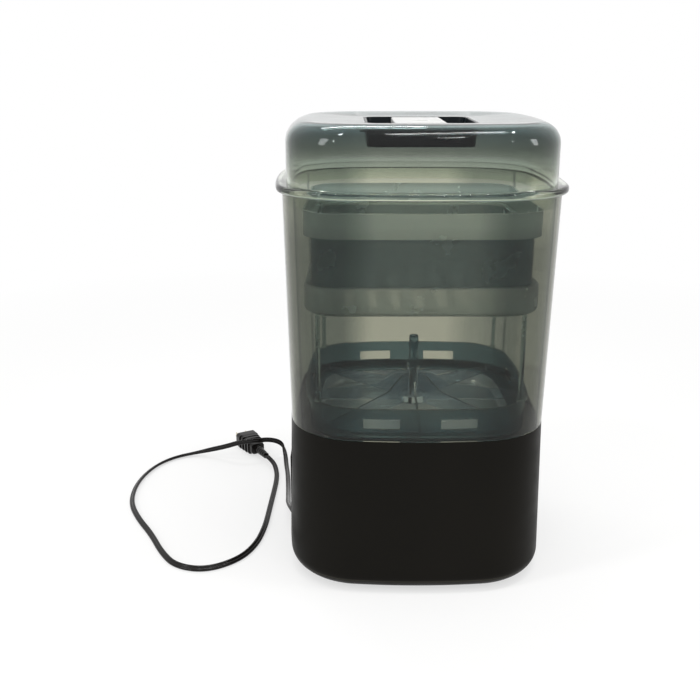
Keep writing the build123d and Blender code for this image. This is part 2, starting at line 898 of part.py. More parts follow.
def make_switch_board():
    board_face = control_x()[3]
    stem_end = control_x()[2]
    middle = button_level + lens_rise / 2
    board = block(
        (board_face - switch_board_thickness, board_face),
        (-switch_board_width / 2, switch_board_width / 2),
        (middle - switch_board_height / 2, middle + switch_board_height / 2),
    )
    hole = small_screw_radius + running_gap
    for y, z in switch_posts():
        board -= x_rod(board_face - overrun, board_face + overrun, y, z, hole)
    half = switch_size / 2
    board += block((board_face, board_face + switch_depth), (-half, half),
                   (button_level - half, button_level + half))
    tip = stem_end - button_travel - seat_gap
    return board + x_rod(board_face + switch_depth, tip, 0, button_level, plunger_radius)


def make_switch_screws():
    back = control_x()[3] - switch_board_thickness
    screws = []
    for y, z in switch_posts():
        head = x_rod(back - small_head_height, back, y, z, small_head_radius)
        screws.append(head + x_rod(back, back + small_screw_length, y, z, small_screw_radius))
    return screws


def make_lens():
    level = button_level + lens_rise
    face = seam_half_width + base_offset(level) + lens_proud
    return x_rod(control_x()[3], face, 0, level, lens_radius)


# Control board

def make_board():
    board = block(
        (board_x - board_length / 2, board_x + board_length / 2),
        (board_y - board_width / 2, board_y + board_width / 2),
        (board_level, board_level + board_thickness),
    )
    hole = small_screw_radius + running_gap
    for x, y in board_holes():
        board -= rod(x, y, board_level - overrun, board_level + overrun, hole)
    return board


def make_board_parts():
    top = board_level + board_thickness
    spots = [(board_x + board_length * u, board_y + board_width * v) for u, v in board_spot_shares]
    parts = []
    sizes = (relay_size, connector_size, heat_sink_size)
    for size, (x, y) in zip(sizes, (spots[0], spots[2], spots[3])):
        half_x, half_y = size[0] / 2, size[1] / 2
        parts.append(block((x - half_x, x + half_x), (y - half_y, y + half_y), (top, top + size[2])))
    parts.append(rod(spots[1][0], spots[1][1], top, top + capacitor_height, capacitor_radius))
    return parts


# Cord, gland, clamp, leads and plug

def y_cone(start, length, root, tip):
    cone = Cone(root, tip, length, align=(Align.CENTER, Align.CENTER, Align.MIN))
    return Pos(0, start, 0) * Rot(-90, 0, 0) * cone


def y_rod(start, length, radius):
    body = Cylinder(radius, length, align=(Align.CENTER, Align.CENTER, Align.MIN))
    return Pos(0, start, 0) * Rot(-90, 0, 0) * body


def grooved_relief(length, root, tip):
    """A tapered strain relief along +Y with grooves round it."""
    relief = y_cone(0, length, root, tip)
    pitch = length / (relief_grooves + 1)
    for number in range(relief_grooves):
        start = pitch * (number + 1) - relief_groove_width / 2
        radius = root + (tip - root) * (start / length) - relief_groove_depth
        cutter = y_rod(start, relief_groove_width, root + overrun)
        relief -= cutter - y_rod(start - overrun, 3 * overrun, radius)
    return relief


def make_gland():
    gland = grooved_relief(relief_length, relief_root_radius, relief_tip_radius)
    gland += y_rod(-pocket_wall, pocket_wall, gland_barrel_radius)
    gland += y_rod(-pocket_wall - gland_flange, gland_flange, gland_flange_radius)
    return gland_frame * gland


def make_cord_clamp():
    x, y = clamp_spot()
    low = gland_level - cord_radius
    height = 2 * cord_radius + clamp_block[2] - cord_radius
    clamp = block((-clamp_block[0] / 2, clamp_block[0] / 2), (-clamp_block[1] / 2, clamp_block[1] / 2),
                  (low, low + height))
    clamp -= Pos(0, 0, gland_level) * y_rod(-clamp_block[1], 2 * clamp_block[1], cord_radius)
    channel = block((-cord_radius, cord_radius), (-clamp_block[1], clamp_block[1]),
                    (low - overrun, gland_level))
    clamp = Pos(x, y, 0) * Rot(0, 0, gland_angle) * (clamp - channel)
    for sx, sy in clamp_screws():
        clamp -= rod(sx, sy, low - overrun, low + 3 * overrun, small_screw_radius + running_gap)
    return clamp


def tube(points, radius, name):
    """A tube along straight runs joined by arcs as large as the runs allow."""
    spots = [Vector(*p) for p in points]
    radii = []
    for before, here, after in zip(spots, spots[1:], spots[2:]):
        first, second = here - before, after - here
        turn = radians(first.get_angle(second))
        radii.append(arc_share * min(first.length, second.length) / tan(turn / 2))
    print(name, "arc radii", [round(r, 1) for r in radii])
    path = FilletPolyline(*spots, radius=radii)
    start = Plane(origin=spots[0], z_dir=spots[1] - spots[0])
    body = sweep(start * Circle(radius), path=path)
    share = body.volume / (pi * radius ** 2 * path.length)
    print(name, "length", round(path.length, 1), "volume share", round(share, 4))
    return body


plug_frame = Pos(plug_x, plug_y, plug_body_height / 2) * Rot(0, 0, plug_turn)


def make_plug():
    half = plug_body_width / 2
    nose_half = plug_nose_width / 2
    start = -plug_body_length / 2
    nose_start = plug_body_length / 2 - plug_nose_length
    tall = plug_body_height
    body = Pos(0, start, 0) * Rot(-90, 0, 0) * loft(
        [RectangleRounded(2 * half * plug_waist_share, tall * plug_waist_share, plug_corner),
         Pos(0, 0, nose_start - start) * RectangleRounded(2 * half, tall, plug_corner)], ruled=True)
    nose = Pos(0, nose_start, 0) * Rot(-90, 0, 0) * extrude(
        RectangleRounded(2 * nose_half, tall, plug_corner), plug_nose_length)
    relief = Pos(0, start, 0) * Rot(0, 0, 180) * grooved_relief(
        plug_relief_length, plug_relief_root, plug_relief_tip)
    for number in range(plug_ridges):
        place = nose_start - plug_ridge_pitch * (number + 1)
        share = plug_waist_share + (1 - plug_waist_share) * (place - start) / (nose_start - start)
        wide = 2 * (half * share + plug_ridge_proud)
        high = min(tall * share + 2 * plug_ridge_proud, tall)
        ridge = extrude(RectangleRounded(wide, high, plug_corner), plug_ridge_width)
        body += Pos(0, place, 0) * Rot(-90, 0, 0) * ridge
    plug = plug_frame * (body + nose + relief)
    for blade in make_plug_blades():
        plug -= blade
    return plug


def make_plug_blades():
    face = plug_body_length / 2
    blades = []
    for side in (1, -1):
        x = side * blade_spacing / 2
        blade = block((x - blade_plate / 2, x + blade_plate / 2), (face - blade_root, face + blade_out),
                      (-blade_width / 2, blade_width / 2))
        blades.append(plug_frame * blade)
    return blades


def plug_end():
    place = plug_frame * Pos(0, -plug_body_length / 2 - plug_relief_length, 0)
    return place.position


def relief_end():
    return (gland_frame * Pos(0, relief_length, 0)).position


def make_inner_leads():
    inner = (gland_frame * Pos(0, -pocket_wall - gland_flange, 0)).position
    past = (gland_frame * Pos(0, -clamp_along - 2 * clamp_block[1], 0)).position
    top = board_level + board_thickness
    connector_x = board_x + board_length * board_spot_shares[2][0]
    connector_y = board_y + board_width * board_spot_shares[2][1]
    end = (connector_x - connector_size[0] / 2, connector_y, top + connector_size[2] / 2)
    plain = (end[0] - lead_run, connector_y, end[2])
    bend = (plain[0] - 2 * lead_run, lead_bend_y, gland_level)
    corner = (lead_corner[0], lead_corner[1], gland_level)
    return tube([tuple(inner), tuple(past), corner, bend, plain, end], lead_radius, "inner leads")


# Rack

def rack_floor_ring(gap):
    """The ledge round the tray's floor, widened inwards by a gap."""
    floor_low = rack_low + rack_floor_rise
    ring = prism(rack_foot_offset, floor_low, floor_low + rack_floor)
    inner = rack_foot_offset - rack_ring_width - gap
    return ring - prism(inner, floor_low - overrun, floor_low + rack_floor + overrun)


def make_rack():
    lip_low = rack_top - rack_lip_height
    tray = taper(rack_foot_offset, rack_low, -rack_inset, rack_top)
    tray += prism(-rack_inset + rack_lip, lip_low, rack_top)
    hollow = taper(rack_foot_offset - rack_wall, rack_low, -rack_inset - rack_wall, rack_top)
    rack = tray - hollow + rack_floor_ring(0)
    window_x = (seam_half_width - 2 * rack_inset - overrun, seam_half_width)
    window_z = (window_level - window_height / 2, window_level + window_height / 2)
    for quarter in range(4):
        for side in (1, -1):
            middle = side * window_place
            window_y = (middle - window_width / 2, middle + window_width / 2)
            rack -= Rot(0, 0, 90 * quarter) * block(window_x, window_y, window_z)
    return rack


def make_rack_ribs():
    """Eight ribs and a collar in one piece that stands on the tray's ledge."""
    floor_low = rack_low + rack_floor_rise
    rib_top = floor_low + rib_top_height
    reach = corner_reach(rack_foot_offset)
    profile = Polyline(
        (0, floor_low), (reach, floor_low), (reach, floor_low + rib_outer_height),
        (rib_knee_radius, floor_low + rib_knee_height), (rack_collar_radius, rib_top),
        (0, rib_top), close=True,
    )
    web = extrude(Plane.XZ * make_face(profile), rib_thickness / 2, both=True)
    ribs = web
    for number in range(1, rib_count):
        ribs += Rot(0, 0, 360 * number / rib_count) * web
    gap = rack_wall + running_gap
    ribs &= taper(rack_foot_offset - gap, rack_low, -rack_inset - gap, rack_top)
    ribs -= rack_floor_ring(running_gap)
    ribs += rod(0, 0, floor_low, floor_low + rack_hub_height, rack_hub_radius)
    ribs += rod(0, 0, floor_low, rib_top, rack_collar_radius)
    return ribs - rod(0, 0, rib_top - post_pin_length, rib_top + overrun, post_pin_radius + post_pin_gap)


def make_rack_post():
    collar_top = rack_low + rack_floor_rise + rib_top_height
    post = rod(0, 0, collar_top, rack_post_top, rack_post_radius)
    post = fillet(post.edges().sort_by(Axis.Z)[-1], rack_post_rounding)
    return post + rod(0, 0, collar_top - post_pin_length + seat_gap, collar_top, post_pin_radius)


# Basket

def make_basket():
    half = basket_half_width
    mid_half = half - basket_band_proud
    corner = basket_corner
    mid_corner = corner - basket_band_proud
    lower_top = basket_low + basket_lower_band
    upper_low = basket_high - basket_upper_band
    floor_top = basket_low + basket_floor
    top = basket_high + overrun
    body = rounded_box(half, half, corner, basket_low, lower_top)
    body = fillet(body.faces().sort_by(Axis.Z)[0].edges(), basket_edge)
    body = fillet(body.faces().sort_by(Axis.Z)[-1].edges(), basket_shoulder)
    body += rounded_box(mid_half, mid_half, mid_corner, lower_top, upper_low)
    body += rounded_box(half, half, corner, upper_low, basket_high)
    band_inner = half - basket_wall
    band_corner = corner - basket_wall
    mid_inner = mid_half - basket_wall
    room = rounded_box(band_inner, band_inner, band_corner, floor_top, lower_top - basket_wall)
    body -= fillet(room.faces().sort_by(Axis.Z)[0].edges(), basket_edge - basket_wall)
    body -= rounded_box(mid_inner, mid_inner, mid_corner - basket_wall, floor_top, top)
    body -= rounded_box(band_inner, band_inner, band_corner, upper_low + basket_wall, top)
    leg_low = rack_top + seat_gap
    arc = corner_radius - rack_inset - rack_wall / 2
    leg_x = corner_spot() + arc * cos(radians(leg_angle))
    leg_y = corner_spot() + arc * sin(radians(leg_angle))
    for x, y in four(leg_x, leg_y):
        body += rod(x, y, leg_low, floor_top, leg_radius)
        body += rod(x, y, leg_low, leg_low + leg_foot_height, leg_foot_radius)
    for number in range(basket_slots):
        middle = (number - (basket_slots - 1) / 2) * basket_slot_pitch
        x = (middle - basket_slot_width / 2, middle + basket_slot_width / 2)
        for side in (1, -1):
            y_middle = side * (basket_slot_length / 2 + basket_slot_width)
            y = (y_middle - basket_slot_length / 2, y_middle + basket_slot_length / 2)
            body -= block(x, y, (basket_low - overrun, basket_low + overrun))
    return body


# Sleeve and lid

def make_sleeve():
    low = seam_height + seat_gap
    sleeve = taper(sleeve_offset(low), low, sleeve_flare, sleeve_top_height)
    skirt_low = deck_top + seat_gap
    skirt_offset = -rim_wall - slip_gap
    sleeve += prism(skirt_offset, skirt_low, low)
    top = sleeve_top_height + overrun
    hollow = taper(-sleeve_wall, low, sleeve_offset(top) - sleeve_wall, top)
    return sleeve - hollow - prism(-sleeve_wall, skirt_low - overrun, low)


def make_lid():
    low = sleeve_top_height + seat_gap
    flange_top = low + lid_flange_height
    flange = prism(lid_flange_offset, low, flange_top)
    rims = flange.faces().sort_by(Axis.Z)[0].edges() + flange.faces().sort_by(Axis.Z)[-1].edges()
    flange = fillet(rims, lid_flange_rounding)
    dome = prism(lid_offset, low, lid_top_height)
    dome = fillet(dome.faces().sort_by(Axis.Z)[-1].edges(), lid_shoulder_radius)
    spigot_low = sleeve_top_height - spigot_length
    spigot_offset = sleeve_offset(spigot_low) - sleeve_wall - slip_gap
    spigot = prism(spigot_offset, spigot_low, low)
    hollow = prism(lid_offset - lid_wall, low, lid_top_height - lid_wall)
    hollow = fillet(hollow.faces().sort_by(Axis.Z)[-1].edges(), lid_shoulder_radius - lid_wall)
    dish_offset = lid_offset - lid_shoulder_radius - lid_dish_edge
    dish = taper(-lid_dish_inset, grip_rim_height, dish_offset, lid_top_height)
    hollow -= Pos(0, 0, -lid_wall) * dish
    bore = prism(spigot_offset - spigot_wall, spigot_low - overrun, low + overrun)
    lid = flange + dome + spigot - hollow - bore - dish
    gap = slip_gap
    opening = rounded_box(grip_half_width + gap, grip_half_length + gap, grip_corner + gap,
                          lid_top_height - 2 * overrun, lid_top_height + overrun)
    return lid - opening


def grip_cup(inset, low, high):
    foot_inset = inset + grip_draft
    top = RectangleRounded(
        2 * (grip_half_width - inset), 2 * (grip_half_length - inset), grip_corner - inset)
    foot = RectangleRounded(
        2 * (grip_half_width - foot_inset), 2 * (grip_half_length - foot_inset),
        grip_corner - foot_inset)
    return loft([Pos(0, 0, low) * foot, Pos(0, 0, high) * top], ruled=True)


def grip_well():
    """The space inside the grip's cup."""
    return grip_cup(grip_wall, grip_low + grip_wall, grip_rim_height + overrun)


def make_grip_insert():
    under = grip_rim_height - lid_wall - seat_gap
    reach = grip_flange
    insert = grip_cup(0, grip_low, grip_rim_height)
    insert += rounded_box(grip_half_width + reach, grip_half_length + reach, grip_corner + reach,
                          under - grip_wall, under)
    insert -= grip_well()
    well = (grip_bar_half_width + grip_half_width) / 2
    for side in (1, -1):
        for number in range(vent_slots):
            y = (number - (vent_slots - 1) / 2) * vent_slot_pitch
            slot_x = (side * well - vent_slot_length / 2, side * well + vent_slot_length / 2)
            slot_y = (y - vent_slot_width / 2, y + vent_slot_width / 2)
            insert -= block(slot_x, slot_y, (grip_low - overrun, grip_low + overrun))
    return insert


def make_grip_bar():
    top = grip_rim_height - grip_bar_drop
    floor = grip_low + grip_wall
    y = (-grip_half_length, grip_half_length)
    bar = block((-grip_bar_half_width, grip_bar_half_width), y, (floor, top))
    bar = fillet(bar.faces().sort_by(Axis.Z)[-1].edges().filter_by(Axis.Y), grip_bar_edge)
    inner_half = grip_bar_half_width - grip_bar_wall
    bar -= block((-inner_half, inner_half), y, (floor - overrun, top - grip_bar_wall))
    return bar & grip_well()


# Everything is written, one node a file

os.makedirs("parts", exist_ok=True)

save("base_housing", make_housing())
save("bottom_cover", make_bottom_cover())
save("deck_panel", make_deck())
save("heating_pan", make_pan())
save("pan_seal", make_seal())
save("heater_plate", rod(0, 0, plate_low, plate_top, plate_radius))
save("heater_element", make_element())
save("heater_clamp_bar", make_clamp_bar())
save("thermostat", rod(0, 0, clamp_top, plate_low, thermostat_radius))
save("thermal_fuse", block(
    (-fuse_width / 2, fuse_width / 2), (fuse_place - fuse_length / 2, fuse_place + fuse_length / 2),
    (plate_low - fuse_height, plate_low)))

save("rubber_feet", Compound(children=[
    fillet(rod(x, y, 0, foot_height + foot_recess, foot_radius).edges().sort_by(Axis.Z)[0], foot_edge)
    for x, y in four(foot_place, foot_place)]))
save("cover_screws", Compound(children=[
    screw_up(x, y, counterbore_top, screw_radius, screw_head_radius, screw_head_height, screw_length)
    for x, y in four(foot_place, foot_place)]))
save("deck_screws", Compound(children=[
    screw_up(x, y, deck_low - deck_boss_length - pad_thickness, screw_radius, screw_head_radius,
             screw_head_height, screw_length - seat_gap)
    for x, y in four(deck_boss_place, deck_boss_place)]))
save("clamp_bar_screws", Compound(children=[
    screw_up(x, 0, clamp_top - clamp_thickness, screw_radius, screw_head_radius,
             screw_head_height, screw_length - seat_gap)
    for x in (clamp_place, -clamp_place)]))

save("fan_casing", make_fan_casing())
save("fan_cover", make_fan_cover())
save("fan_impeller", make_impeller())
save("fan_motor", make_motor())
save("motor_shaft", make_motor_shaft())
save("fan_screws", Compound(children=[
    screw_down(x, y, fan_low + ear_thickness, screw_radius, screw_head_radius, screw_head_height,
               screw_length - seat_gap) for x, y in ear_spots()]))
save("air_duct", duct_form(0) - duct_form(duct_wall))
save("duct_heater", make_duct_heater())
save("air_filter", make_filter())
save("filter_cover", make_filter_cover())

save("power_button", make_button())
save("button_bezel", make_bezel())
save("switch_board", make_switch_board())
save("switch_board_screws", Compound(children=make_switch_screws()))
save("indicator_lens", make_lens())
save("control_board", make_board())
save("board_parts", Compound(children=make_board_parts()))
save("board_screws", Compound(children=[
    screw_down(x, y, board_level + board_thickness, small_screw_radius, small_head_radius,
               small_head_height, small_screw_length - seat_gap) for x, y in board_holes()]))

save("cord_gland", make_gland())
save("cord_clamp", make_cord_clamp())
save("inner_leads", make_inner_leads())
route = [(gland_x + x, gland_y + y, z) for x, y, z in cord_route]
route = [tuple(relief_end())] + route + [tuple(plug_end())]
save("power_cord", tube(route, cord_radius, "cord"))
save("mains_plug", make_plug())
save("plug_blades", Compound(children=make_plug_blades()))

save("bottle_rack", make_rack())
save("rack_ribs", make_rack_ribs())
save("rack_post", make_rack_post())
save("accessory_basket", make_basket())
save("sleeve", make_sleeve())
save("lid", make_lid())
save("grip_insert", make_grip_insert())
save("grip_bar", make_grip_bar())
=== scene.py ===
import bpy
import json
import math
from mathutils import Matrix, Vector

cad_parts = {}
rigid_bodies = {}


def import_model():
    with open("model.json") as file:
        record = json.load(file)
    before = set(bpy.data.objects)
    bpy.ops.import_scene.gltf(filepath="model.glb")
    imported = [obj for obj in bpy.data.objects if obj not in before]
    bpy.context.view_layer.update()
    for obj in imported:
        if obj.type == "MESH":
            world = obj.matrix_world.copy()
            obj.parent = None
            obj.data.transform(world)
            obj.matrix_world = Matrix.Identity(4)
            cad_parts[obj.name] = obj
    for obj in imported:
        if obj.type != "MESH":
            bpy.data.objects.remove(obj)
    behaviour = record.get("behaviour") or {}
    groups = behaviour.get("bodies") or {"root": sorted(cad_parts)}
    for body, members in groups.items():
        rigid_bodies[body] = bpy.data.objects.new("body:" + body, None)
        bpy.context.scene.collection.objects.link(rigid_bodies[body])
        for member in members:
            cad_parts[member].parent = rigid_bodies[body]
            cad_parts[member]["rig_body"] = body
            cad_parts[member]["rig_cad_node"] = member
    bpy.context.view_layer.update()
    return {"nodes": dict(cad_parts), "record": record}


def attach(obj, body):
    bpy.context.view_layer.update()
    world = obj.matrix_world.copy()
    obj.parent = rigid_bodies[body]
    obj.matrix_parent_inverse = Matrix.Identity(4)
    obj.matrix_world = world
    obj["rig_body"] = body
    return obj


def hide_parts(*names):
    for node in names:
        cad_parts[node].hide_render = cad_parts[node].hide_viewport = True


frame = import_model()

nodes = frame["nodes"]
record = frame["record"]
bodyOf = {node: body for body, names in record["behaviour"]["bodies"].items() for node in names}
slotOf = {part["node"]: part["material_slot"] for part in record["subparts"]}
print("stage: frame loaded,", len(nodes), "nodes")


def addObject(name, data):
    thing = bpy.data.objects.new(name, data)
    bpy.context.scene.collection.objects.link(thing)
    return thing


def pickOnly(piece):
    bpy.ops.object.select_all(action="DESELECT")
    bpy.context.view_layer.objects.active = piece
    piece.select_set(True)


def meshOf(holder):
    bpy.context.view_layer.update()
    return bpy.data.meshes.new_from_object(holder.evaluated_get(bpy.context.evaluated_depsgraph_get()))


# The camera stands where the photograph was taken
cameraLook = {
    "place": (-0.06727, -0.90423, 0.48967),
    "down": 0.3038,
    "turn": 0.0023,
    "lens": 47.5,
    "sensor": 36.0,
    "near": 0.01,
}
cameraData = bpy.data.cameras.new("camera")
cameraData.lens = cameraLook["lens"]
cameraData.sensor_width = cameraLook["sensor"]
cameraData.clip_start = cameraLook["near"]
camera = addObject("camera", cameraData)
camera.location = cameraLook["place"]
camera.rotation_euler = (math.pi / 2 - cameraLook["down"], 0, -cameraLook["turn"])
bpy.context.scene.camera = camera


# Mains lead: a flat twin lead whose line follows these points, in metres
leadLook = {
    "route": (
        (-0.1285, 0.0058, 0.0230), (-0.1340, 0.0300, 0.0175), (-0.1360, 0.0620, 0.0100),
        (-0.1385, 0.1000, 0.0034), (-0.1415, 0.1380, 0.0028), (-0.1450, 0.1640, 0.0030),
        (-0.1475, 0.1870, 0.0075), (-0.1520, 0.1990, 0.0180), (-0.1660, 0.1910, 0.0265),
        (-0.1840, 0.1805, 0.0293), (-0.2040, 0.1785, 0.0279), (-0.2225, 0.1850, 0.0195),
        (-0.2410, 0.1955, 0.0110), (-0.2640, 0.2000, 0.0040), (-0.2890, 0.1895, 0.0028),
        (-0.3080, 0.1660, 0.0028), (-0.3190, 0.1320, 0.0028), (-0.3220, 0.0960, 0.0028),
        (-0.3170, 0.0580, 0.0028), (-0.3010, 0.0220, 0.0028), (-0.2790, -0.0140, 0.0028),
        (-0.2610, -0.0520, 0.0028), (-0.2420, -0.0790, 0.0028), (-0.2105, -0.0875, 0.0028),
        (-0.1800, -0.0680, 0.0028), (-0.1645, -0.0380, 0.0028), (-0.1580, 0.0020, 0.0028),
        (-0.1565, 0.0460, 0.0028), (-0.1550, 0.0860, 0.0028), (-0.1540, 0.1190, 0.0028),
        (-0.1553, 0.1415, 0.0042), (-0.1610, 0.1630, 0.0083),
    ),
    "start": (-0.12289, -0.00957, 0.0230),
    "end": (-0.17150, 0.17797, 0.0095),
    "width": 0.0064,
    "thickness": 0.0034,
    "waist": 0.0022,
    "coreSteps": 12,
    "lineSteps": 8,
    "lineOrder": 3,
    "floorTilt": 35,
    "humpTilt": 80,
    "hump": (8, 13),  # the first and last point of the hump over the plug
    "endPoints": 3,  # the tilt grows over so many points at each end
    "smoothAngle": 40,
}


def leadTilt(number, count, look):
    # the flat lead leans on the floor, stands on edge in the hump and lies flat at its ends
    share = min(1, number / look["endPoints"], (count - 1 - number) / look["endPoints"])
    low, high = look["hump"]
    return share * math.radians(look["humpTilt"] if low <= number <= high else look["floorTilt"])


def leadSpline(points, look):
    curve = bpy.data.curves.new("leadLine", "CURVE")
    curve.dimensions = "3D"
    curve.twist_mode = "Z_UP"
    curve.resolution_u = look["lineSteps"]
    spline = curve.splines.new("NURBS")
    spline.points.add(len(points) - 1)
    for number, point in enumerate(points):
        spline.points[number].co = (*point, 1)
        spline.points[number].tilt = leadTilt(number, len(points), look)
    spline.order_u = look["lineOrder"]
    spline.use_endpoint_u = True
    return curve


def leadSection(look):
    # two round cores side by side, joined by a thin waist
    core = look["thickness"] / 2
    reach = look["width"] / 2 - core
    start = math.asin(look["waist"] / 2 / core)
    corners = []
    for side in (1, -1):
        for step in range(look["coreSteps"] + 1):
            angle = -math.pi + start + (2 * math.pi - 2 * start) * step / look["coreSteps"]
            corners.append((side * (reach + core * math.cos(angle)), side * core * math.sin(angle)))
    section = bpy.data.curves.new("leadSection", "CURVE")
    section.dimensions = "2D"
    outline = section.splines.new("POLY")
    outline.points.add(len(corners) - 1)
    for spot, (across, up) in zip(outline.points, corners):
        spot.co = (across, up, 0, 1)
    outline.use_cyclic_u = True
    return section


def makeLead(look):
    line = leadSpline([look["start"], *look["route"], look["end"]], look)
    holder = addObject("leadLine", line)
    plain = meshOf(holder)
    path = [tuple(vertex.co) for vertex in plain.vertices]
    bpy.data.meshes.remove(plain)
    section = addObject("leadSection", leadSection(look))
    line.bevel_mode = "OBJECT"
    line.bevel_object = section
    line.use_fill_caps = True
    lead = addObject("mainsLead", meshOf(holder))
    lead.data.name = "mainsLead"
    bpy.data.objects.remove(holder)
    bpy.data.objects.remove(section)
    pickOnly(lead)
    bpy.ops.object.mode_set(mode="EDIT")
    bpy.ops.mesh.select_all(action="SELECT")
    bpy.ops.mesh.normals_make_consistent(inside=False)
    bpy.ops.object.mode_set(mode="OBJECT")
    bpy.ops.object.shade_smooth_by_angle(angle=math.radians(look["smoothAngle"]))
    return lead, path


mainsLead, leadPath = makeLead(leadLook)


# Finishes
noiseSpan = (0.3, 0.7)  # the part of a noise's range that is used
shaderSockets = ("Metallic", "IOR", "Specular IOR Level", "Specular Tint")
solidPlain = {
    "stretch": (1, 1, 1),
    "cloud": 14, "cloudDetail": 3,
    "smudge": 40, "smudgeDetail": 5,
    "grain": 900, "grainDetail": 2,
    "bump": 0.00002,
}
clearPlain = {
    "stretch": (1, 1, 1),
    "cloud": 9, "cloudDetail": 3,
    "smudge": 30, "smudgeDetail": 5,
    "grain": 16, "grainDetail": 1,  # a slow wave in the moulded wall
    "bump": 0.0004,
    "IOR": 1.32,
    "through": 1,
}


def startFinish(name):
    finish = bpy.data.materials.new(name)
    finish.use_nodes = True
    tree = finish.node_tree
    return finish, tree, tree.nodes["Principled BSDF"]


def objectSpot(tree, scale=(1, 1, 1)):
    place = tree.nodes.new("ShaderNodeTexCoord")
    mapping = tree.nodes.new("ShaderNodeMapping")
    mapping.inputs["Scale"].default_value = scale
    tree.links.new(place.outputs["Object"], mapping.inputs["Vector"])
    return mapping.outputs["Vector"]


def splitSpot(tree):
    split = tree.nodes.new("ShaderNodeSeparateXYZ")
    tree.links.new(objectSpot(tree), split.inputs[0])
    return split.outputs


def noiseFrom(tree, spot, scale, detail):
    noise = tree.nodes.new("ShaderNodeTexNoise")
    noise.inputs["Scale"].default_value = scale
    noise.inputs["Detail"].default_value = detail
    tree.links.new(spot, noise.inputs["Vector"])
    return noise.outputs["Fac"]


def rampFrom(tree, value, stops):
    ramp = tree.nodes.new("ShaderNodeValToRGB")
    tree.links.new(value, ramp.inputs["Fac"])
    band = ramp.color_ramp
    for element, (place, colour) in zip(band.elements, (stops[0], stops[-1])):
        element.position, element.color = place, (*colour, 1)
    for place, colour in stops[1:-1]:
        band.elements.new(place).color = (*colour, 1)
    return ramp.outputs["Color"]


def rangeFrom(tree, value, start, end, low=0, high=1):
    span = tree.nodes.new("ShaderNodeMapRange")
    for socket, number in (("From Min", start), ("From Max", end), ("To Min", low), ("To Max", high)):
        span.inputs[socket].default_value = number
    tree.links.new(value, span.inputs["Value"])
    return span.outputs["Result"]


def bumpFrom(tree, height, distance):
    bump = tree.nodes.new("ShaderNodeBump")
    bump.inputs["Strength"].default_value = 1
    bump.inputs["Distance"].default_value = distance
    tree.links.new(height, bump.inputs["Height"])
    return bump.outputs["Normal"]


def mathFrom(tree, operation, *values):
    step = tree.nodes.new("ShaderNodeMath")
    step.operation = operation
    for socket, value in zip(step.inputs, values):
        if isinstance(value, (int, float)):
            socket.default_value = value
        else:
            tree.links.new(value, socket)
    return step.outputs[0]


def timesFrom(tree, first, second):
    product = tree.nodes.new("ShaderNodeVectorMath")
    product.operation = "MULTIPLY"
    tree.links.new(first, product.inputs[0])
    tree.links.new(second, product.inputs[1])
    return product.outputs["Vector"]


def bandsFrom(tree, look):
    # rings of different tint up the height of a piece
    level = rangeFrom(tree, splitSpot(tree)["Z"], look["low"], look["high"])
    return rampFrom(tree, level, look["stops"])


def paintedCornerShadeAndLineFrom(tree, look):
    # the rounded corners painted darker than the flat sides, a painted dark reflection, with the
    # mould's line up each one
    sides = splitSpot(tree)
    across = mathFrom(tree, "ABSOLUTE", sides["X"])
    along = mathFrom(tree, "ABSOLUTE", sides["Y"])
    corner = rangeFrom(tree, mathFrom(tree, "MULTIPLY", across, along), *look["reach"])
    shade = rampFrom(tree, corner, ((0, (1, 1, 1)), (1, look["paintedCornerTint"])))
    turn = mathFrom(tree, "ARCTAN2", along, across)
    away = mathFrom(tree, "ABSOLUTE", mathFrom(tree, "SUBTRACT", turn, look["lineTurn"]))
    line = rangeFrom(tree, away, 0, look["lineReach"])
    return timesFrom(tree, shade, rampFrom(tree, line, ((0, look["lineTint"]), (1, (1, 1, 1)))))


def mouldedFinish(name, look):
    # cloudy colour, uneven gloss and a relief in the surface
    finish, tree, shader = startFinish(name)
    spot = objectSpot(tree, look["stretch"])
    cloud = noiseFrom(tree, spot, look["cloud"], look["cloudDetail"])
    colour = rampFrom(tree, cloud, tuple(zip(noiseSpan, (look["colour"], look["shade"]))))
    if "bands" in look:
        colour = timesFrom(tree, colour, bandsFrom(tree, look["bands"]))
    if "corners" in look:
        colour = timesFrom(tree, colour, paintedCornerShadeAndLineFrom(tree, look["corners"]))
    tree.links.new(colour, shader.inputs["Base Color"])
    smudge = noiseFrom(tree, spot, look["smudge"], look["smudgeDetail"])
    tree.links.new(rangeFrom(tree, smudge, *noiseSpan, *look["roughness"]), shader.inputs["Roughness"])
    grain = noiseFrom(tree, spot, look["grain"], look["grainDetail"])
    tree.links.new(bumpFrom(tree, grain, look["bump"]), shader.inputs["Normal"])
    for socket in shaderSockets:
        if socket in look:
            shader.inputs[socket].default_value = look[socket]
    return finish, tree, shader


def solidFinish(name, changes):
    return mouldedFinish(name, {**solidPlain, **changes})[0]


def clearFinish(name, changes):
    look = {**clearPlain, **changes}
    finish, tree, shader = mouldedFinish(name, look)
    shader.inputs["Transmission Weight"].default_value = look["through"]
    if "clearBelow" in look:
        # the legs are clear rods under a frosted basket
        rods = mathFrom(tree, "LESS_THAN", splitSpot(tree)["Z"], look["clearBelow"])
        through = rangeFrom(tree, rods, 0, 1, look["through"], 1)
        tree.links.new(through, shader.inputs["Transmission Weight"])
    if "soak" in look:
        soak = tree.nodes.new("ShaderNodeVolumeAbsorption")
        soak.inputs["Color"].default_value = (*look["soak"], 1)
        soak.inputs["Density"].default_value = look["density"]
        tree.links.new(soak.outputs["Volume"], tree.nodes["Material Output"].inputs["Volume"])
    return finish


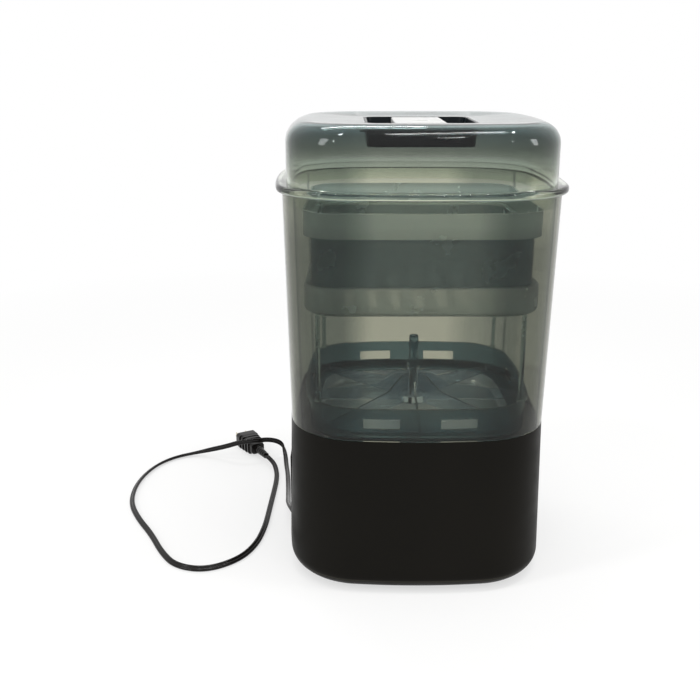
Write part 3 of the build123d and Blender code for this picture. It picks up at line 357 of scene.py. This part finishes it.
finishes = {
    "black_gloss": solidFinish("baseBlack", {
        "colour": (0.0082, 0.0080, 0.0072), "shade": (0.0102, 0.0096, 0.0084),
        "roughness": (0.34, 0.46), "grain": 2200, "bump": 0.00003, "cloud": 6,
        "bands": {"low": 0.0115, "high": 0.0145, "stops": (  # a painted highlight: a bright line along the edge over the cover's groove
            (0, (1, 1, 1)), (0.22, (9, 9, 8)), (0.45, (3, 3, 2.8)), (1, (1, 1, 1)))},
        "IOR": 1.22, "Specular IOR Level": 0.15, "Specular Tint": (1.0, 0.88, 0.72, 1)}),
    "cover_satin": solidFinish("coverSatin", {
        "colour": (0.0085, 0.0080, 0.0070), "shade": (0.0160, 0.0140, 0.0120),
        "roughness": (0.4, 0.55), "grain": 2200, "bump": 0.00003, "cloud": 9,
        "Specular IOR Level": 0.1}),
    "smoky_clear": clearFinish("smokySleeve", {
        "colour": (0.94, 0.95, 0.875), "shade": (0.97, 0.98, 0.90), "roughness": (0.015, 0.05),
        "soak": (0.35, 0.33, 0.20), "density": 130, "Specular IOR Level": 0.45,
        "bands": {"low": 0.3, "high": 0.3765, "stops": (
            (0, (0.75, 0.755, 0.75)), (0.45, (0.76, 0.765, 0.76)), (0.72, (1, 1, 1)), (1, (1, 1, 1)))},
        # the corners painted darker: a painted dark reflection, with a dark line up each corner
        "corners": {"reach": (0.0055, 0.0088), "paintedCornerTint": (0.57, 0.60, 0.61),
                    "lineTurn": 0.70, "lineReach": 0.014, "lineTint": (0.25, 0.30, 0.32)}}),
    "lid_clear": clearFinish("smokyLid", {
        "colour": (0.93, 0.96, 0.89), "shade": (0.96, 0.985, 0.92), "roughness": (0.015, 0.05),
        "soak": (0.52, 0.56, 0.48), "density": 40,
        # darker up the shoulders and top: a painted dark reflection
        "bands": {"low": 0.364, "high": 0.4385, "stops": (
            (0, (1, 1, 1)), (0.30, (1, 1, 1)), (0.38, (0.64, 0.64, 0.61)), (0.51, (0.41, 0.43, 0.41)),
            (0.62, (0.30, 0.32, 0.31)), (0.74, (0.22, 0.24, 0.24)), (0.84, (0.27, 0.31, 0.33)),
            (1, (0.36, 0.44, 0.48)))},
        # the corners painted a little darker: a painted dark reflection
        "corners": {"reach": (0.0050, 0.0085), "paintedCornerTint": (0.90, 0.92, 0.92),
                    "lineTurn": 0.785, "lineReach": 0.004, "lineTint": (0.9, 0.9, 0.9)}}),
    "smoky_rack": clearFinish("smokyRack", {
        "colour": (0.18, 0.31, 0.37), "shade": (0.23, 0.36, 0.42), "roughness": (0.03, 0.10),
        "through": 0.8}),
    "ribs_clear": clearFinish("smokyRibs", {
        "colour": (0.76, 0.86, 0.94), "shade": (0.82, 0.90, 0.97), "roughness": (0.03, 0.10),
        "through": 0.92}),
    "smoky_frosted": clearFinish("smokyBasket", {
        "colour": (0.90, 0.95, 0.96), "shade": (0.95, 0.98, 0.98), "roughness": (0.18, 0.30),
        "through": 0.55, "clearBelow": 0.2699,
        "bands": {"low": 0.2695, "high": 0.3635, "stops": (
            (0, (0.50, 0.58, 0.58)), (0.004, (0.92, 0.96, 0.96)), (0.285, (1, 1, 1)),
            (0.295, (0.36, 0.44, 0.49)), (0.75, (0.34, 0.42, 0.47)), (0.76, (0.84, 0.90, 0.90)),
            (1, (0.88, 0.93, 0.93)))}}),
    "grip_black": solidFinish("gripBlack", {
        "colour": (0.006, 0.009, 0.011), "shade": (0.008, 0.011, 0.013), "roughness": (0.2, 0.3),
        "Specular IOR Level": 0.12}),
    "grip_pale": solidFinish("gripPale", {
        "colour": (0.48, 0.48, 0.47), "shade": (0.53, 0.53, 0.52), "roughness": (0.25, 0.35),
        "grain": 1500}),
    "inner_plastic": solidFinish("innerPlastic", {
        "colour": (0.035, 0.037, 0.036), "shade": (0.045, 0.046, 0.044), "roughness": (0.35, 0.5)}),
    "steel": solidFinish("panSteel", {
        "colour": (0.70, 0.76, 0.82), "shade": (0.78, 0.83, 0.87), "roughness": (0.16, 0.28),
        "Metallic": 0.4, "stretch": (1, 6, 6), "grain": 200, "bump": 0.000002}),
    "heat_alloy": solidFinish("heatAlloy", {
        "colour": (0.55, 0.55, 0.55), "shade": (0.62, 0.62, 0.62), "roughness": (0.35, 0.5),
        "Metallic": 1}),
    "screw_steel": solidFinish("screwSteel", {
        "colour": (0.42, 0.42, 0.42), "shade": (0.5, 0.5, 0.49), "roughness": (0.25, 0.4),
        "Metallic": 1}),
    "rubber_black": solidFinish("rubberBlack", {
        "colour": (0.018, 0.018, 0.018), "shade": (0.026, 0.026, 0.026), "roughness": (0.6, 0.75)}),
    "seal_grey": solidFinish("sealGrey", {
        "colour": (0.18, 0.18, 0.18), "shade": (0.22, 0.22, 0.22), "roughness": (0.5, 0.6)}),
    "filter_white": solidFinish("filterFelt", {
        "colour": (0.62, 0.62, 0.60), "shade": (0.72, 0.72, 0.69), "roughness": (0.85, 0.95),
        "grain": 700, "bump": 0.0003}),
    "board_green": solidFinish("boardGreen", {
        "colour": (0.02, 0.10, 0.04), "shade": (0.03, 0.13, 0.05), "roughness": (0.25, 0.4)}),
    "parts_dark": solidFinish("partsDark", {
        "colour": (0.025, 0.025, 0.03), "shade": (0.04, 0.04, 0.045), "roughness": (0.4, 0.5)}),
    "motor_steel": solidFinish("motorSteel", {
        "colour": (0.32, 0.32, 0.33), "shade": (0.38, 0.38, 0.38), "roughness": (0.3, 0.4),
        "Metallic": 1}),
    "lens_white": solidFinish("lensWhite", {
        "colour": (0.55, 0.60, 0.60), "shade": (0.6, 0.65, 0.65), "roughness": (0.2, 0.3)}),
    "cord_black": solidFinish("cordBlack", {
        "colour": (0.0065, 0.0058, 0.0052), "shade": (0.0100, 0.0088, 0.0080),
        "roughness": (0.12, 0.22), "grain": 1200, "IOR": 1.32, "Specular IOR Level": 0.4}),
    "blade_brass": solidFinish("bladeMetal", {
        "colour": (0.62, 0.58, 0.48), "shade": (0.7, 0.65, 0.52), "roughness": (0.22, 0.35),
        "Metallic": 1}),
}


def dress(piece, finish):
    piece.data.materials.clear()
    piece.data.materials.append(finish)


for nodeName, node in nodes.items():
    dress(node, finishes[slotOf[nodeName]])
print("stage: finishes on")


# Walls: a solid's loose triangles are merged into a smooth copy of it
wallLook = {
    "weld": 0.000005,
    "smoothAngle": 35,
    "pieces": {
        "sleeve": "clearSleeve",
        "lid": "clearLid",
        "bottle_rack": "bottleRack",
        "accessory_basket": "accessoryBasket",
        "base_housing": "baseHousing",
        "rack_ribs": "rackRibs",
    },
}


def smoothCopy(node, name, look):
    wall = nodes[node].copy()
    wall.data = nodes[node].data.copy()
    wall.name = name
    wall.data.name = name
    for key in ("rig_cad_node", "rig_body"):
        if key in wall:
            del wall[key]
    wall.parent = None
    bpy.context.scene.collection.objects.link(wall)
    pickOnly(wall)
    bpy.ops.object.mode_set(mode="EDIT")
    bpy.ops.mesh.select_all(action="SELECT")
    bpy.ops.mesh.remove_doubles(threshold=look["weld"])
    bpy.ops.mesh.customdata_custom_splitnormals_clear()
    bpy.ops.object.mode_set(mode="OBJECT")
    bpy.ops.object.shade_smooth_by_angle(angle=math.radians(look["smoothAngle"]))
    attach(wall, bodyOf[node])
    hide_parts(node)
    return wall


walls = {node: smoothCopy(node, name, wallLook) for node, name in wallLook["pieces"].items()}
dress(walls["lid"], finishes["lid_clear"])
dress(walls["rack_ribs"], finishes["ribs_clear"])
dress(nodes["bottom_cover"], finishes["cover_satin"])
print("stage: smooth walls")

dress(mainsLead, finishes["cord_black"])
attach(mainsLead, "base")
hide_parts("power_cord")


# Floor, lamps and world
studioLook = {
    "floorHalf": 6.0,
    "floorColour": (0.86, 0.86, 0.85, 1),
    "floorRoughness": 0.9,
    "floorGloss": 0.1,
    "floorLift": 0.62,  # how white the seen floor is by the object, where it keeps the shadow
    "near": 0.32,
    "far": 1.4,
    "world": 0.75,
    "lamps": (
        ("topLamp", (0.15, -0.25, 1.3), (0.5, 0.08), 3.0),
        ("backLamp", (-0.2, 0.5, 1.25), (0.6, 0.06), 3.0),
        ("leftLamp", (-1.1, -0.6, 0.9), (0.25, 0.6), 4.0),
        ("rightLamp", (1.2, -0.4, 0.8), (0.2, 0.5), 3.0),
        ("leftGlint", (-0.45, -0.35, 1.35), (0.10, 0.05), 1.5),
        ("rightGlint", (0.55, -0.15, 1.45), (0.12, 0.05), 1.5),
        ("leftSpot", (-0.95, -0.95, 1.10), (0.06, 0.06), 0.8),
        ("rightSpot", (0.85, -1.05, 1.15), (0.08, 0.05), 0.8),
        ("middleSpot", (0.22, -0.85, 1.50), (0.16, 0.04), 0.9),
    ),
    "aim": (0, 0, 0.2),
}


def seenRays(tree):
    # one where a ray of the camera, of gloss or through a clear wall meets the surface
    path = tree.nodes.new("ShaderNodeLightPath")
    total = path.outputs["Is Camera Ray"]
    for ray in ("Is Glossy Ray", "Is Transmission Ray"):
        total = mathFrom(tree, "MAXIMUM", total, path.outputs[ray])
    return total


def makeFloor(look):
    bpy.ops.object.select_all(action="DESELECT")
    bpy.ops.mesh.primitive_plane_add(size=2 * look["floorHalf"], location=(0, 0, 0))
    floor = bpy.context.active_object
    floor.name = "studioFloor"
    finish, tree, shader = startFinish("floorPaint")
    shader.inputs["Base Color"].default_value = look["floorColour"]
    shader.inputs["Roughness"].default_value = look["floorRoughness"]
    shader.inputs["Specular IOR Level"].default_value = look["floorGloss"]
    place = tree.nodes.new("ShaderNodeTexCoord")
    distance = tree.nodes.new("ShaderNodeVectorMath")
    distance.operation = "LENGTH"
    tree.links.new(place.outputs["Object"], distance.inputs[0])
    lift = rangeFrom(tree, distance.outputs["Value"], look["near"], look["far"], look["floorLift"], 1)
    glow = tree.nodes.new("ShaderNodeEmission")
    mix = tree.nodes.new("ShaderNodeMixShader")
    tree.links.new(mathFrom(tree, "MULTIPLY", seenRays(tree), lift), mix.inputs["Fac"])
    tree.links.new(shader.outputs[0], mix.inputs[1])
    tree.links.new(glow.outputs[0], mix.inputs[2])
    tree.links.new(mix.outputs[0], tree.nodes["Material Output"].inputs["Surface"])
    dress(floor, finish)


def makeWorld(look):
    world = bpy.data.worlds.new("studioWorld")
    world.use_nodes = True
    bpy.context.scene.world = world
    tree = world.node_tree
    sky = tree.nodes["Background"]
    sky.inputs["Color"].default_value = (1, 1, 1, 1)
    tree.links.new(rangeFrom(tree, seenRays(tree), 0, 1, look["world"], 1), sky.inputs["Strength"])


def makeLamps(look):
    for name, place, size, power in look["lamps"]:
        lamp = bpy.data.lights.new(name, "AREA")
        lamp.shape = "RECTANGLE"
        lamp.size, lamp.size_y = size
        lamp.energy = power
        holder = addObject(name, lamp)
        holder.location = place
        holder.rotation_euler = (Vector(place) - Vector(look["aim"])).to_track_quat("Z", "Y").to_euler()


makeFloor(studioLook)
makeWorld(studioLook)
makeLamps(studioLook)
bpy.context.scene.view_settings.view_transform = "Standard"
print("stage: studio made")
